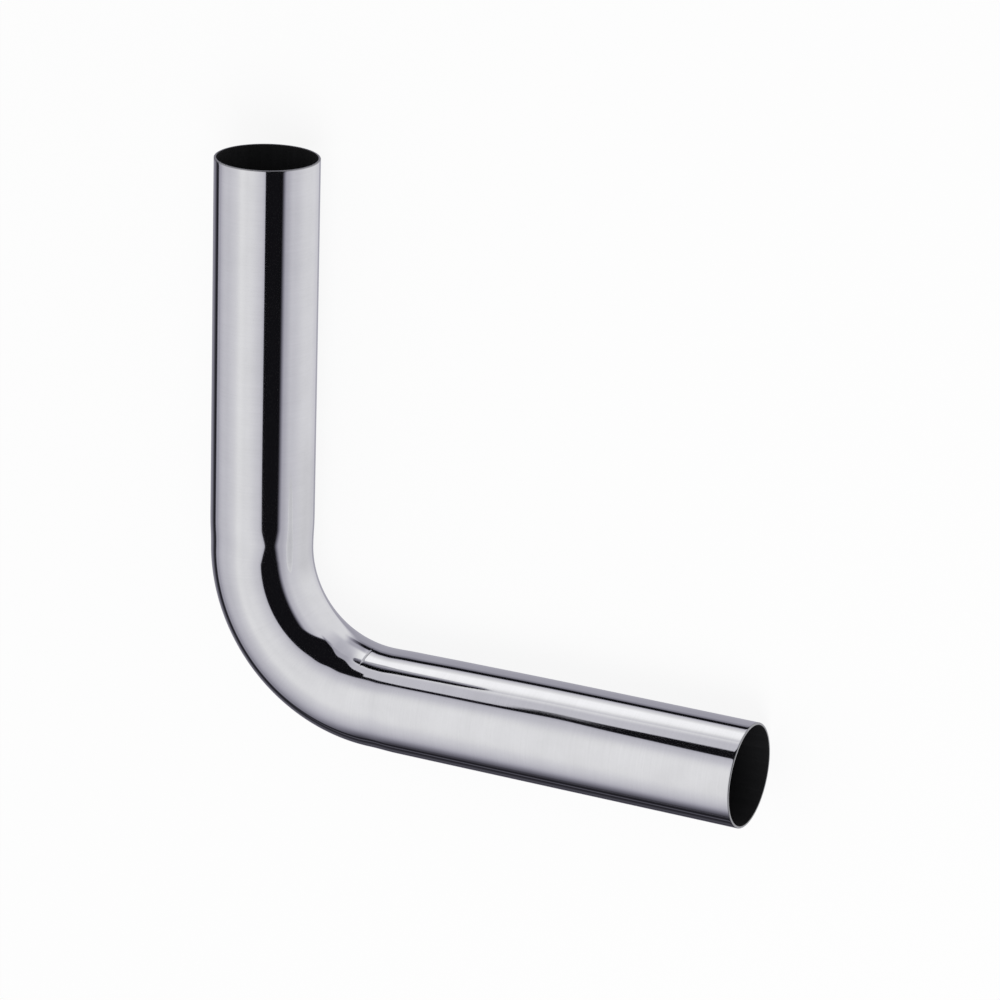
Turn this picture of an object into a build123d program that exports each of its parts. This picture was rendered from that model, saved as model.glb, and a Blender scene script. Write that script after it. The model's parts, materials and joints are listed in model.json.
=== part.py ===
"""Angled waste pipe: one thin-walled tube, draw-bent through a right angle and cut square at both ends.

The pipe lies on its side as it would come to rest. The inlet leg runs along +Y, the outlet leg along +X,
and the origin is the middle of the box around the pipe, on the surface that it lies on.
Lengths are in millimetres and angles in degrees.
"""

import os
from math import cos, radians, sin, tan

from build123d import *

# Driving dimensions
tube_diameter = 32.0  # outside of the straight legs
tube_wall = 0.8
inlet_reach = 165.0  # from where the two axes cross to the inlet's open end
outlet_reach = 165.0  # from where the two axes cross to the outlet's open end
bend_angle = 90.0  # how far the flow is turned
bend_radius = 42.0  # of the centreline
neck_depth = 0.25  # how far the wall is drawn in along the bend
neck_length = 10.0  # of the tapered neck that leads from a leg into the bend
rim_round = 0.25  # on the deburred edges of both cut ends

# Values that follow
tube_radius = tube_diameter / 2
bent_radius = tube_radius - neck_depth
setback = bend_radius * tan(radians(bend_angle / 2))  # from where the axes cross to either end of the bend
inlet_straight = inlet_reach - setback
outlet_straight = outlet_reach - setback

# Each leg is drawn on a plane that starts at its end of the bend, with its Y along the leg, outwards
turn = radians(bend_angle)
bend_end = bend_radius * Vector(1 - cos(turn), -sin(turn), 0)
inlet_plane = Plane.XY
outlet_plane = Plane(bend_end, x_dir=(cos(turn), sin(turn), 0), z_dir=(0, 0, -1))
bend_axis = Axis((bend_radius, 0, 0), (0, 0, 1))

with BuildPart() as waste_pipe:
    # The bend is the drawn-in section, turned about the bend's axis
    with BuildSketch(Plane.XZ):
        Circle(bent_radius)
    revolve(axis=bend_axis, revolution_arc=bend_angle)

    # Each leg is a full round, with an S-shaped neck that meets the bend and the leg in line
    for leg_plane, straight in ((inlet_plane, inlet_straight), (outlet_plane, outlet_straight)):
        neck_start = (bent_radius, 0)
        neck_middle = (tube_radius - neck_depth / 2, neck_length / 2)
        neck_end = (tube_radius, neck_length)
        with BuildSketch(leg_plane):
            with BuildLine():
                Line((0, 0), neck_start)
                TangentArc(neck_start, neck_middle, tangent=(0, 1))
                TangentArc(neck_end, neck_middle, tangent=(0, -1))
                Polyline(neck_end, (tube_radius, straight), (0, straight), (0, 0))
            make_face()
        revolve(axis=Axis(leg_plane.origin, leg_plane.y_dir))

    # The tube is hollow from one cut end to the other, with the same wall all along
    cut_ends = waste_pipe.faces().filter_by(GeomType.PLANE)
    offset(amount=-tube_wall, openings=cut_ends)

    # Both cut ends are deburred inside and out
    rims = waste_pipe.faces().filter_by(GeomType.PLANE).edges()
    fillet(rims, radius=rim_round)

# Lay the pipe on its side, centred over the origin
laid = waste_pipe.part.bounding_box()
waste_pipe.part.position = (-laid.center().X, -laid.center().Y, -laid.min.Z)
waste_pipe.part.label = "waste_pipe"

os.makedirs("parts", exist_ok=True)
export_step(waste_pipe.part, "parts/waste_pipe.step")
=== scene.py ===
"""Angled waste pipe: one chromed tube, bent through a right angle and open at both ends, on a studio floor.

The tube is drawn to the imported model's box and mounts. Its inlet leg runs along +Y and its outlet leg
along +X. Lengths are in metres and angles in radians, unless a comment says otherwise.
"""

import json
from math import atan2, cos, degrees, exp, hypot, pi
from typing import NamedTuple

import bmesh
import bpy
from bpy.props import FloatProperty, FloatVectorProperty, IntProperty, PointerProperty
from mathutils import Matrix, Vector


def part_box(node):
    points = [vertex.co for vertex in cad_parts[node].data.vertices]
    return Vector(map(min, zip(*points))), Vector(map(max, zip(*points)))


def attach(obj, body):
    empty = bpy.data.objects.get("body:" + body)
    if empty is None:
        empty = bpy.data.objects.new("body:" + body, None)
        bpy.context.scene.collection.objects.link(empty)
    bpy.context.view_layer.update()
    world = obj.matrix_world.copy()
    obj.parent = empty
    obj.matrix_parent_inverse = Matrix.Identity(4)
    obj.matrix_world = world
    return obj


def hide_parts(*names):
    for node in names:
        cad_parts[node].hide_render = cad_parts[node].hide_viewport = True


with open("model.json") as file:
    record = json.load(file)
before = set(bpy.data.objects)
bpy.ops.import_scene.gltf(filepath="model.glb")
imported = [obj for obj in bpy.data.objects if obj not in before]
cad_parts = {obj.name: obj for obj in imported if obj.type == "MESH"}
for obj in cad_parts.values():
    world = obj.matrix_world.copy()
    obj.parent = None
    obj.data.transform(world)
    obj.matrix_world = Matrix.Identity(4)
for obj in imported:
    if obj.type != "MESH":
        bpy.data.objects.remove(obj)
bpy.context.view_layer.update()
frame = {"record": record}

bl_info = {
    "name": "Angled waste pipe",
    "version": (1, 0, 0),
    "blender": (4, 5, 0),
    "location": "View3D > Sidebar > Waste pipe",
    "description": "Draws a chromed waste pipe with one right-angled bend and sets it on a studio floor",
    "category": "Add Mesh",
}

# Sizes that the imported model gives
low_corner, high_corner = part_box("waste_pipe")
mounts = {mount["name"]: mount for mount in frame["record"]["mounts"]}
spigot_radius = mounts["inlet_spigot"]["dims"]["r_mm"] / 1000
bore_radius = mounts["inlet_bore"]["dims"]["r_mm"] / 1000
plate_colour = frame["record"]["materials"][0]["base_color"]


class Mark(NamedTuple):
    """A shallow mark in the wall, deepest in its middle, that fades over its length and breadth."""

    along: float  # from the inlet end of the bend
    around: float  # in degrees, from the inside of the bend towards the top
    length: float
    breadth: float  # in degrees
    depth: float


# Marks that the bending tool left: in the bend, at its outlet end, and along the outlet leg
BEND_MARKS = (
    Mark(0.033, 0, 0.02, 45, 0.0003),
    Mark(0.068, 53, 0.006, 7.5, 0.00007),
    Mark(0.073, 0, 0.012, 40, 0.00034),
    Mark(0.087, 0, 0.026, 40, 0.00034),
    Mark(0.131, 58, 0.012, 15, 0.00012),
    Mark(0.186, 46, 0.03, 14, 0.00013),
)

# Fold that is left where the bend's inside ends
CREASE = Mark(0.0623, 19, 0.00035, 9, 0.0002)

# Wrinkles on the inside of the bend, where the wall was pressed together, and the place of one crest
WRINKLED = Mark(0.052, 40, 0.0095, 30, 0.00004)
WRINKLE_CREST = 0.0529
WRINKLE_PITCH = 0.0105

# Stretches of the bend, as shares of its angle and of its rings, which lie close together at the crease
BEND_RUNS = ((0.9, 0.65), (0.065, 0.3), (0.035, 0.05))

# How near a cut end the plating thins out, and where it is gone
PLATE_THINS = 0.0004
PLATE_ENDS = 0.00015

# Scales of the fine lines that polishing and drawing leave, across and along the tube, and of the haze
POLISH_LINES = (60, 60, 1800)
DRAWING_LINES = (900, 900, 30)
DRAWING_DEPTH = 0.00002
HAZE_SCALE = 110
WAVE_SCALE = 90

# How far a face may lie from an end's plane and still belong to it
AT_END = 1e-5

# Step off a face, to see whether it looks inwards
PROBE = 0.0001

# How far the soft box reaches across and back, for its height
BOX_ACROSS = 1.385
BOX_BACK = 1.72

# Floor, lamp and camera
FLOOR_SIZE = 6
FLOOR_CLEARANCE = 0.00002
LAMP_SIZE = 1.2
LAMP_PLACE = (0.5, -0.5, 1.5)
SENSOR_WIDTH = 36  # in millimetres
STRAY_LIGHT = 0.007
WHITE = (1, 1, 1, 1)
COOL_SHADE = (0.95, 0.92, 1.16, 1)


class PipeSizes(bpy.types.PropertyGroup):
    """Sizes of the tube."""

    radius: FloatProperty(
        name="Radius",
        description="Outside radius of both straight legs",
        default=spigot_radius,
        unit="LENGTH",
    )
    wall: FloatProperty(
        name="Wall",
        description="Thickness of the metal",
        default=spigot_radius - bore_radius,
        unit="LENGTH",
    )
    bend_radius: FloatProperty(
        name="Bend radius",
        description="Radius of the bend's centreline",
        default=0.042,
        unit="LENGTH",
    )
    neck_depth: FloatProperty(
        name="Neck depth",
        description="How far the wall is drawn in along the bend",
        default=0.00025,
        unit="LENGTH",
    )
    neck_length: FloatProperty(
        name="Neck length",
        description="Length of the taper between a leg and the bend",
        default=0.01,
        unit="LENGTH",
    )
    rim_round: FloatProperty(
        name="Rim round",
        description="Rounding of the deburred edges of both ends",
        default=0.00025,
        unit="LENGTH",
    )
    facets: IntProperty(name="Facets", description="Faces round the tube", default=144, min=12)
    bend_rings: IntProperty(
        name="Bend rings", description="Rings of faces along the bend", default=120, min=6
    )
    neck_rings: IntProperty(
        name="Neck rings", description="Rings of faces along each neck", default=16, min=4
    )
    leg_rings: IntProperty(
        name="Leg rings", description="Rings of faces along each straight leg", default=48, min=1
    )


class PipeFinish(bpy.types.PropertyGroup):
    """Colours and gloss of the plated outside and of the dull inside."""

    plate: FloatVectorProperty(
        name="Plate",
        description="Colour of the chrome plate",
        default=plate_colour,
        subtype="COLOR",
        min=0,
        max=1,
    )
    plate_roughness: FloatProperty(
        name="Plate roughness",
        description="Roughness of the chrome plate",
        default=0.06,
        subtype="FACTOR",
        min=0,
        max=1,
    )
    cut_end: FloatVectorProperty(
        name="Cut end",
        description="Colour of the dull cut ends and of the crease",
        default=(0.3, 0.3, 0.31),
        subtype="COLOR",
        min=0,
        max=1,
    )
    bore: FloatVectorProperty(
        name="Bore",
        description="Colour of the unplated inside",
        default=(0.012, 0.012, 0.013),
        subtype="COLOR",
        min=0,
        max=1,
    )
    bore_roughness: FloatProperty(
        name="Bore roughness",
        description="Roughness of the unplated inside",
        default=0.7,
        subtype="FACTOR",
        min=0,
        max=1,
    )
    ripple: FloatProperty(
        name="Ripple",
        description="Height of the shallow waves in the polish",
        default=0.000004,
        unit="LENGTH",
    )


class PipeStage(bpy.types.PropertyGroup):
    """Floor, light and camera."""

    floor: FloatVectorProperty(
        name="Floor",
        description="Colour of the floor",
        default=(0.9, 0.9, 0.9),
        subtype="COLOR",
        min=0,
        max=1,
    )
    shadow: FloatProperty(
        name="Shadow",
        description="How much of the floor's light can be shaded",
        default=0.12,
        subtype="FACTOR",
        min=0,
        max=1,
    )
    fill: FloatProperty(
        name="Fill", description="Level of the soft light from all round", default=0.6, min=0
    )
    lamp: FloatProperty(
        name="Lamp",
        description="Power of the soft lamp overhead",
        default=13,
        subtype="POWER",
        unit="POWER",
        min=0,
    )
    camera_place: FloatVectorProperty(
        name="Camera place",
        description="Where the camera stands",
        default=(0.5129, 0.4165, 1.0908),
        subtype="XYZ",
        unit="LENGTH",
    )
    camera_aim: FloatVectorProperty(
        name="Camera aim",
        description="What the camera looks at",
        default=(0.006, -0.0034, 0.016),
        subtype="XYZ",
        unit="LENGTH",
    )
    camera_up: FloatVectorProperty(
        name="Camera up",
        description="Direction that is up in the picture",
        default=(-0.172, 0.9424, -0.287),
        subtype="XYZ",
    )
    lens: FloatProperty(
        name="Lens", description="Focal length in millimetres", default=152.12, min=1, unit="CAMERA"
    )


class Shade:
    """An output of a shader node, which takes part in sums and feeds other nodes."""

    def __init__(self, tree, socket=None):
        self.tree = tree
        self.socket = socket

    def node(self, kind, settings=None, inputs=None, output=0):
        """Adds a node, sets it up, fills its sockets with values or links, and gives one of its outputs."""
        made = self.tree.nodes.new(kind)
        for name, value in (settings or {}).items():
            if name == "stops":
                stops = made.color_ramp.elements
                while len(stops) < len(value):
                    stops.new(1)
                for stop, (place, level) in zip(stops, value):
                    stop.position = place
                    stop.color = (level, level, level, 1)
            else:
                setattr(made, name, value)
        for name, value in (inputs or {}).items():
            if isinstance(value, Shade):
                self.tree.links.new(value.socket, made.inputs[name])
            else:
                made.inputs[name].default_value = value
        return Shade(self.tree, made.outputs[output]) if made.outputs else made

    def beside(self, output):
        """Another output of the same node."""
        return Shade(self.tree, self.socket.node.outputs[output])

    def maths(self, operation, *values):
        return self.node("ShaderNodeMath", {"operation": operation}, dict(enumerate(values)))

    def __add__(self, other):
        return self.maths("ADD", self, other)

    def __radd__(self, other):
        return self.maths("ADD", other, self)

    def __sub__(self, other):
        return self.maths("SUBTRACT", self, other)

    def __rsub__(self, other):
        return self.maths("SUBTRACT", other, self)

    def __mul__(self, other):
        return self.maths("MULTIPLY", self, other)

    def __rmul__(self, other):
        return self.maths("MULTIPLY", other, self)

    def at_least(self, other):
        return self.maths("MAXIMUM", self, other)

    def step(self, start, end):
        """Goes smoothly from 0 at start to 1 at end."""
        limits = {"From Min": start, "From Max": end, "Value": self}
        return self.node("ShaderNodeMapRange", {"interpolation_type": "SMOOTHSTEP"}, limits)

    def blend(self, start, end):
        """Mixes two colours: the first where this is 0, the second where it is 1."""
        return self.node("ShaderNodeMix", {"data_type": "RGBA"}, {0: self, 6: start, 7: end}, output=2)

    def parts(self):
        """The three numbers of a vector."""
        x = self.node("ShaderNodeSeparateXYZ", inputs={"Vector": self})
        return x, x.beside("Y"), x.beside("Z")


def new_material(name):
    """A material with an empty node tree, and a Shade to draw in it."""
    material = bpy.data.materials.new(name)
    material.use_nodes = True
    material.node_tree.nodes.clear()
    return material, Shade(material.node_tree)


def surface(shade, shader):
    """Makes a shader the surface of its material or world."""
    kind = "World" if isinstance(shade.tree.id_data, bpy.types.World) else "Material"
    shade.node("ShaderNodeOutput" + kind, inputs={"Surface": shader})


def chrome_plate(finish, run):
    """Bright plating: fine polishing lines, shallow waves in the metal, dull cut ends, a darker crease, and
    painted shade inside the start of the bend.
    """
    material, shade = new_material("chrome_plate")
    along = shade.node("ShaderNodeAttribute", {"attribute_name": "unbent"}, output="Vector")
    inward, up, length = along.parts()
    brushed = along.node("ShaderNodeMapping", inputs={"Vector": along, "Scale": POLISH_LINES})
    lines = brushed.node("ShaderNodeTexNoise", inputs={"Vector": brushed, "Scale": 1, "Detail": 3})
    cloudy = {"Vector": along, "Scale": HAZE_SCALE, "Detail": 4, "Roughness": 0.6}
    haze = along.node("ShaderNodeTexNoise", inputs=cloudy)
    waves = along.node("ShaderNodeTexNoise", inputs={"Vector": along, "Scale": WAVE_SCALE, "Detail": 1})

    # Painted shade: the inside by the start of the bend is darker, standing in for the floor in the tube's
    # own shade that the metal shows there
    by_bend = length.step(-0.04, -0.025) * (1 - length.step(0.004, 0.018))
    painted_crook_shade = by_bend * inward.step(0, 0.008) * (1 - up.step(0.002, 0.0075))
    brighter = [1.15 * level for level in finish.plate]
    duller = [0.85 * level for level in finish.plate]
    # Random tone from the haze and the polishing lines, plus the painted shade inside the bend
    haze_and_shade = 0.5 + 0.45 * (haze - 0.5) + 0.25 * (lines - 0.5) + 0.33 * painted_crook_shade
    polish_and_shade = haze_and_shade.blend((*brighter, 1), (*duller, 1))

    # The cut ends are bare of polish, and the crease is darker
    from_middle = shade.maths("ABSOLUTE", length - run.middle)
    cut = from_middle.step(run.half_length - PLATE_THINS, run.half_length - PLATE_ENDS)
    fold = shade.node("ShaderNodeAttribute", {"attribute_name": "fold"}, output="Fac")
    relief = {"Height": waves + 0.04 * lines, "Distance": finish.ripple, "Strength": 1}
    plate = {
        "Base Color": cut.at_least(0.8 * fold).blend(polish_and_shade, (*finish.cut_end, 1)),
        "Metallic": 1,
        "Roughness": finish.plate_roughness + 0.03 * (lines - 0.5) + 0.03 * (haze - 0.5) + 0.2 * cut,
        "Normal": shade.node("ShaderNodeBump", inputs=relief),
    }
    surface(shade, shade.node("ShaderNodeBsdfPrincipled", inputs=plate))
    return material


def dull_bore(finish):
    """The bare inside of the tube: dark and dull, with drawing lines along it."""
    material, shade = new_material("dull_bore")
    along = shade.node("ShaderNodeAttribute", {"attribute_name": "unbent"}, output="Vector")
    drawn = along.node("ShaderNodeMapping", inputs={"Vector": along, "Scale": DRAWING_LINES})
    lines = drawn.node("ShaderNodeTexNoise", inputs={"Vector": drawn, "Scale": 1, "Detail": 4})
    paler = [1.5 * level for level in finish.bore]
    relief = {"Height": lines, "Distance": DRAWING_DEPTH, "Strength": 1}
    inside = {
        "Base Color": lines.step(0.4, 0.9).blend((*finish.bore, 1), (*paler, 1)),
        "Roughness": finish.bore_roughness + 0.2 * (lines - 0.5),
        "Specular IOR Level": 0.15,
        "Normal": shade.node("ShaderNodeBump", inputs=relief),
    }
    surface(shade, shade.node("ShaderNodeBsdfPrincipled", inputs=inside))
    return material


class PipeRun:
    """Where the tube runs: down the inlet leg, round the bend and out along the outlet leg."""

    def __init__(self, sizes):
        self.height = low_corner.z + sizes.radius
        self.bent_radius = sizes.radius - sizes.neck_depth
        self.turn = sizes.bend_radius
        self.bend_length = sizes.bend_radius * pi / 2
        self.centre = Vector((
            low_corner.x + sizes.radius + sizes.bend_radius,
            low_corner.y + sizes.radius + sizes.bend_radius,
            self.height,
        ))
        self.inlet_straight = high_corner.y - self.centre.y
        self.outlet_straight = high_corner.x - self.centre.x
        self.middle = (self.bend_length + self.outlet_straight - self.inlet_straight) / 2
        self.half_length = (self.inlet_straight + self.bend_length + self.outlet_straight) / 2

    def unbend(self, point):
        """A point's place on the straight tube: inwards, up, and along from the start of the bend."""
        east, north, up = point - self.centre
        if north > 0:
            return Vector((east + self.turn, up, -north))
        if east > 0:
            return Vector((north + self.turn, up, self.bend_length + east))
        return Vector((self.turn - hypot(east, north), up, self.turn * atan2(-north, -east)))


def draw_leg(bm, loop, way, centre, stations):
    """Draws a ring of edges out along a leg, to stations of a distance from the bend and a radius."""
    reached, radius = stations[0]
    for distance, wider in stations[1:]:
        grown = bmesh.ops.extrude_edge_only(bm, edges=loop)["geom"]
        loop = [edge for edge in grown if isinstance(edge, bmesh.types.BMEdge)]
        ring = [vertex for vertex in grown if isinstance(vertex, bmesh.types.BMVert)]
        bmesh.ops.translate(bm, verts=ring, vec=way * (distance - reached))
        middle = Matrix.Translation(-centre - way * distance)
        bmesh.ops.scale(bm, verts=ring, vec=Vector((1, 1, 1)) * wider / radius, space=middle)
        loop = [edge for edge in loop if all(vertex in ring for vertex in edge.verts)]
        reached, radius = distance, wider


def leg_stations(sizes, run, straight):
    """Distances and radii of a leg's rings: an S-shaped neck, the straight, and a close ring at the rim."""
    stations = []
    for ring in range(sizes.neck_rings + 1):
        share = ring / sizes.neck_rings
        rise = 2 * share**2 if share < 0.5 else 1 - 2 * (1 - share) ** 2
        stations.append((share * sizes.neck_length, run.bent_radius + rise * sizes.neck_depth))
    last = straight - 3 * sizes.rim_round
    for ring in range(1, sizes.leg_rings + 1):
        share = ring / sizes.leg_rings
        stations.append((sizes.neck_length + share * (last - sizes.neck_length), sizes.radius))
    stations.append((straight, sizes.radius))
    return stations


def share_of(mark, spot):
    """How much of a mark's full depth is reached at a place on the straight tube."""
    beside = degrees(atan2(spot.y, spot.x)) - mark.around
    return exp(-(((spot.z - mark.along) / mark.length) ** 2) - (beside / mark.breadth) ** 2)


def dent(spot):
    """How deep the wall lies under the true round at a place on the straight tube."""
    depth = sum(mark.depth * share_of(mark, spot) for mark in (*BEND_MARKS, CREASE))
    swell = WRINKLED.depth * cos(2 * pi * (spot.z - WRINKLE_CREST) / WRINKLE_PITCH)
    return depth - swell * share_of(WRINKLED, spot)


def draw_tube(sizes, run):
    """The tube's closed mesh: the bend is spun, the legs are drawn out, and the wall gets its thickness."""
    bm = bmesh.new()
    start = Matrix.Translation(run.centre - Vector((run.turn, 0, 0))) @ Matrix.Rotation(pi / 2, 4, "X")
    circle = bmesh.ops.create_circle(bm, segments=sizes.facets, radius=run.bent_radius, matrix=start)
    inlet_loop = list(bm.edges)
    turned = circle["verts"] + inlet_loop
    for share, rings in BEND_RUNS:
        steps = round(rings * sizes.bend_rings)
        turned = bmesh.ops.spin(
            bm, geom=turned, cent=run.centre, axis=(0, 0, 1), angle=share * pi / 2, steps=steps
        )["geom_last"]
    outlet_loop = [edge for edge in turned if isinstance(edge, bmesh.types.BMEdge)]
    inlet_stations = leg_stations(sizes, run, run.inlet_straight)
    outlet_stations = leg_stations(sizes, run, run.outlet_straight)
    draw_leg(bm, inlet_loop, Vector((0, 1, 0)), run.centre - Vector((run.turn, 0, 0)), inlet_stations)
    draw_leg(bm, outlet_loop, Vector((1, 0, 0)), run.centre - Vector((0, run.turn, 0)), outlet_stations)
    bmesh.ops.recalc_face_normals(bm, faces=bm.faces)
    bm.normal_update()
    for vertex in bm.verts:
        vertex.co -= vertex.normal * dent(run.unbend(vertex.co))
    bmesh.ops.solidify(bm, geom=list(bm.faces), thickness=sizes.wall)
    bm.normal_update()
    return bm


def round_rims(bm, sizes, run):
    """Rounds the inner and outer edge of both cut ends."""
    ends = set()
    for face in bm.faces:
        along = run.unbend(face.calc_center_median()).z
        if abs(along - run.middle) > run.half_length - AT_END:
            ends.add(face)
    rims = [edge for edge in bm.edges if sum(face in ends for face in edge.link_faces) == 1]
    bmesh.ops.bevel(
        bm,
        geom=rims,
        offset=sizes.rim_round,
        affect="EDGES",
        segments=4,
        profile=0.5,
        material=-1,
        clamp_overlap=True,
    )
    bm.normal_update()


class DrawWastePipe(bpy.types.Operator):
    """Draw the bent tube with its necks, its wall and its rounded rims, and plate it"""

    bl_idname = "object.draw_waste_pipe"
    bl_label = "Draw waste pipe"

    def execute(self, context):
        settings = context.scene.waste_pipe
        sizes = settings.sizes
        run = PipeRun(sizes)
        bm = draw_tube(sizes, run)
        round_rims(bm, sizes, run)
        unbent = bm.verts.layers.float_vector.new("unbent")
        fold = bm.verts.layers.float.new("fold")
        for vertex in bm.verts:
            vertex[unbent] = run.unbend(vertex.co)
            vertex[fold] = share_of(CREASE, vertex[unbent])

        # Faces that look inwards are the bore, which has the second material
        for face in bm.faces:
            face.smooth = True
            middle = face.calc_center_median()
            here = run.unbend(middle).xy.length
            ahead = run.unbend(middle + face.normal * PROBE).xy.length
            face.material_index = int(ahead < here - PROBE / 2)
        mesh = bpy.data.meshes.new("plated_tube")
        bm.to_mesh(mesh)
        bm.free()
        mesh.materials.append(chrome_plate(settings.finish, run))
        mesh.materials.append(dull_bore(settings.finish))
        tube = bpy.data.objects.new("plated_tube", mesh)
        context.scene.collection.objects.link(tube)
        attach(tube, "root")
        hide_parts("waste_pipe")
        return {"FINISHED"}


def lay_floor(stage):
    """A wide pale floor that keeps the tube's soft shadow. Metal sees the studio's own floor instead."""
    material, shade = new_material("pale_floor")
    camera_ray = shade.node("ShaderNodeLightPath", output="Is Camera Ray")
    matt = shade.node("ShaderNodeBsdfDiffuse", inputs={"Color": (*stage.floor, 1)})
    white = shade.node("ShaderNodeEmission", inputs={"Color": WHITE})
    unshaded = (1 - stage.shadow) * camera_ray
    surface(shade, shade.node("ShaderNodeMixShader", inputs={0: unshaded, 1: matt, 2: white}))
    bm = bmesh.new()
    bmesh.ops.create_grid(bm, x_segments=1, y_segments=1, size=FLOOR_SIZE)
    bmesh.ops.translate(bm, verts=bm.verts, vec=(0, 0, low_corner.z - FLOOR_CLEARANCE))
    mesh = bpy.data.meshes.new("floor")
    bm.to_mesh(mesh)
    bm.free()
    mesh.materials.append(material)
    floor = bpy.data.objects.new("floor", mesh)
    floor.visible_glossy = False
    bpy.context.scene.collection.objects.link(floor)


def soft_box(x, y, z, edge):
    """The soft box overhead: brightest left of its middle, dimmer at its edge and low down in front."""
    fall = 0.47 * (1 - z.step(0, 0.9))
    level = 0.77 + 0.21 * z + fall * y + 0.05 * y.at_least(0)
    leftward = 0 - x
    peak = leftward.step(0.2, 0.45) * (1 - leftward.step(0.42, 0.68)) * z.step(0.65, 0.85)
    left = 1 + leftward.step(0.3, 0.8) * (0.17 - 0.24 * z.step(0.15, 0.5))
    front = 1 - 0.75 * (1 - y.step(-0.98, -0.8)) * (1 - z.step(0, 0.5))
    sill = 1 - 0.85 * (1 - y.step(-0.95, -0.88)) * (1 - z.step(0, 0.1))
    rim = (0.2 + 0.12 * y.step(0.2, 0.7)) * edge.step(-0.45, -0.03) + 0.12 * edge.step(-0.1, 0)
    return (level + 0.08 * peak) * left * front * sill * (1 - rim)


def studio_walls(shade, x, y, z, low, pale_side):
    """Two pale walls: one beyond the outlet with a soft top edge, and a sloping one beyond the inlet."""
    height = z - 0.6 * low
    slant = (x - 0.41 * y - 0.92 * z).step(-0.03, 0.04)
    right_wall = slant * pale_side * (0.84 - 0.62 * height.step(0.28, 0.46) - 0.22 * z.step(0, 0.32))
    drop = 0.05 * x.step(-0.391, -0.374)
    slope = (-0.548 * z - x - 0.166 * y - drop).at_least((y - 2.5 * x - 4.7 * z) * 0.19) - 0.008
    top = shade.maths("MINIMUM", slope, (y - 1.77 * z) * 0.52)
    far_left = (0 - x).step(-0.1, 0.38)
    back_level = 0.48 + 0.25 * far_left + 0.24 * far_left * (1 - z.step(0, 0.16))
    return right_wall.at_least(top.step(-0.006, 0.006) * back_level)


def studio_floor(shade, x, y, z, box, pale_side):
    """The studio's floor: pale towards the open ends, bright beyond the outlet leg, dark by the elbow."""
    down = (0 - z).at_least(0)
    behind = -0.4 * x - 0.33 * y - 0.85 * z
    rise = (0.16 - 0.06 * y.step(-0.1, 0.4)) * down.step(0, 0.6)
    pale = (0.84 + rise) * pale_side * (1 - 0.2 * behind.step(0.6, 1))
    northing = y.at_least(0.05)
    steep = shade.maths("DIVIDE", down, northing)
    leftward = shade.maths("DIVIDE", 0 - x, northing)
    near_half = ((0, 0.8), (0.03, 0.875), (0.09, 1.19), (0.15, 1.28), (0.26, 1.27))
    far_half = ((0.33, 0.98), (0.46, 0.647), (0.66, 0.23), (1, 0.46))
    run = {"stops": (*near_half, *far_half)}
    bright_run = shade.node("ShaderNodeValToRGB", run, {"Fac": 0.5 * steep})
    far_left = leftward.step(-0.05, 0.38)
    gap = leftward.step(-0.55, -0.15) * (1 - down.step(0.45, 0.65))
    hollow_band = steep.step(0.5, 0.72) * (1 - steep.step(1.1, 1.4))
    hollow = hollow_band * leftward.step(-0.15, 0.05) * (1 - leftward.step(0.25, 0.4))
    notch = (1 - shade.maths("ABSOLUTE", leftward + 0.4).step(0.03, 0.16)) * (1 - down.step(0, 0.1))
    line = steep.step(0.93, 0.99) * (1 - steep.step(1.3, 1.42)) * leftward.step(-0.05, 0.3)
    lit = (1 - far_left) * (pale - 0.25 * gap - 0.5 * notch) + far_left * bright_run
    crook = lit * (1 - line) * (1 - 0.4 * hollow)
    aside = y.step(-0.9, -0.7)
    seam = 0.1 * down.step(0.16, 0.21) * (1 - down.step(0.23, 0.28)) * (1 - aside)
    shut = 0.75 * down.step(0.5, 0.6) * (1 - y.step(-0.7, -0.5))
    lip = 0.44 * (1 + y) * down.step(0.25, 0.6) * (1 - shut)
    dark = box * (1 - (down - 0.08 * aside).step(0, 0.1)) + lip + seam + 0.012
    outside = (0 - x - y).step(0.5, 0.85)
    return outside * dark + (1 - outside) * crook


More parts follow.
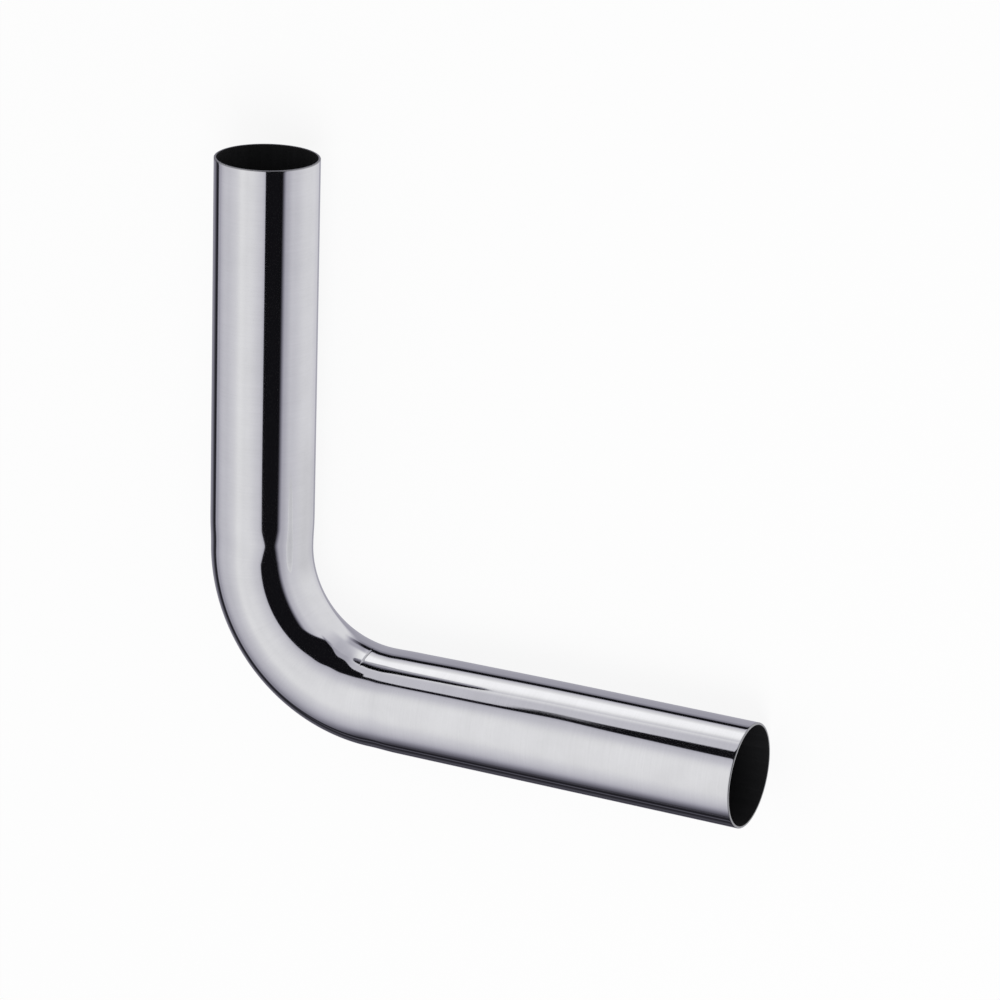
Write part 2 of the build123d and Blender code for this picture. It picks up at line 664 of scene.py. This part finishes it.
def hang_lights(stage):
    """Soft light from all round, and what metal sees of the studio: a soft box, two walls and a floor."""
    world = bpy.data.worlds.new("studio")
    bpy.context.scene.world = world
    world.use_nodes = True
    world.node_tree.nodes.clear()
    shade = Shade(world.node_tree)
    way = shade.node("ShaderNodeTexCoord", output="Generated")
    x, y, z = way.parts()
    camera_ray = shade.node("ShaderNodeLightPath", output="Is Camera Ray")
    in_metal = camera_ray.beside("Is Glossy Ray")

    # The soft box has a rounded corner towards the open ends
    low = (-0.33 - y).at_least(0)
    across = (x + 0.9 * z - 1.5 * low).at_least(0) * (1 / BOX_ACROSS)
    back = (y + 0.3 * z).at_least(0) * (1 / BOX_BACK)
    edge = shade.maths("SQRT", across * across + back * back) - z
    box = soft_box(x, y, z, edge)
    pale_side = 0.91 + 0.1 * y.step(-0.35, 0.35)
    walls = studio_walls(shade, x, y, z, low, pale_side)
    ground = studio_floor(shade, x, y, z, box, pale_side)
    beyond = edge.step(-0.01, 0.01)
    overhead = (1 - beyond) * box + beyond * walls
    above = z.step(-0.01, 0.01)
    level = above * overhead + (1 - above) * ground + STRAY_LIGHT

    # Metal seen in the inlet leg's side is lit as that side is, and darker towards the back
    again = camera_ray.beside("Glossy Depth").step(1.4, 1.6)
    level = level + again * (x - y).step(0, 0.2) * (1.06 - level)
    level = level * (1 - 0.6 * again * (y - x).step(0.1, 0.4) * (1 - (0 - z).step(0.1, 0.35)))

    # Dark parts of the studio are a little cooler, and all but metal sees plain soft light
    hue = level.blend(COOL_SHADE, WHITE)
    studio = shade.node("ShaderNodeVectorMath", {"operation": "SCALE"}, {"Vector": hue, "Scale": level})
    plain = camera_ray.blend((stage.fill, stage.fill, stage.fill, 1), WHITE)
    colour = in_metal.blend(plain, studio)
    surface(shade, shade.node("ShaderNodeBackground", inputs={"Color": colour, "Strength": 1}))

    lamp = bpy.data.lights.new("soft_lamp", "AREA")
    lamp.size = LAMP_SIZE
    lamp.energy = stage.lamp
    hung = bpy.data.objects.new("soft_lamp", lamp)
    hung.location = LAMP_PLACE
    hung.rotation_euler = (-hung.location).to_track_quat("-Z", "Y").to_euler()
    hung.visible_glossy = False
    bpy.context.scene.collection.objects.link(hung)


def place_camera(stage):
    """The camera, looking down on the elbow."""
    data = bpy.data.cameras.new("camera")
    data.sensor_width = SENSOR_WIDTH
    data.lens = stage.lens
    camera = bpy.data.objects.new("camera", data)
    place = Vector(stage.camera_place)
    back = (place - Vector(stage.camera_aim)).normalized()
    right = Vector(stage.camera_up).cross(back).normalized()
    turned = Matrix((right, back.cross(right), back)).transposed()
    camera.matrix_world = Matrix.Translation(place) @ turned.to_4x4()
    bpy.context.scene.collection.objects.link(camera)
    bpy.context.scene.camera = camera


class SetPipeStage(bpy.types.Operator):
    """Lay the floor, hang the lights and place the camera"""

    bl_idname = "object.set_pipe_stage"
    bl_label = "Set stage"

    def execute(self, context):
        stage = context.scene.waste_pipe.stage
        context.scene.view_settings.view_transform = "Standard"
        lay_floor(stage)
        hang_lights(stage)
        place_camera(stage)
        return {"FINISHED"}


class PipeSettings(bpy.types.PropertyGroup):
    """Everything that a user may change."""

    sizes: PointerProperty(type=PipeSizes, name="Sizes", description="Sizes of the tube")
    finish: PointerProperty(type=PipeFinish, name="Finish", description="Colours and gloss of the tube")
    stage: PointerProperty(type=PipeStage, name="Stage", description="Floor, light and camera")


class WastePipePanel(bpy.types.Panel):
    """Lists the tube and its stage in the sidebar"""

    bl_idname = "VIEW3D_PT_waste_pipe"
    bl_label = "Waste pipe"
    bl_space_type = "VIEW_3D"
    bl_region_type = "UI"
    bl_category = "Waste pipe"

    def draw(self, context):
        settings = context.scene.waste_pipe
        for group in (settings.sizes, settings.finish, settings.stage):
            for name in group.__annotations__:
                self.layout.prop(group, name)
        for operator in (DrawWastePipe, SetPipeStage):
            self.layout.operator(operator.bl_idname)


CLASSES = (PipeSizes, PipeFinish, PipeStage, PipeSettings, DrawWastePipe, SetPipeStage, WastePipePanel)


def register():
    for kind in CLASSES:
        bpy.utils.register_class(kind)
    bpy.types.Scene.waste_pipe = PointerProperty(type=PipeSettings)


def unregister():
    del bpy.types.Scene.waste_pipe
    for kind in reversed(CLASSES):
        bpy.utils.unregister_class(kind)


def main():
    register()
    bpy.ops.object.draw_waste_pipe()
    bpy.ops.object.set_pipe_stage()


if __name__ == "__main__":
    main()
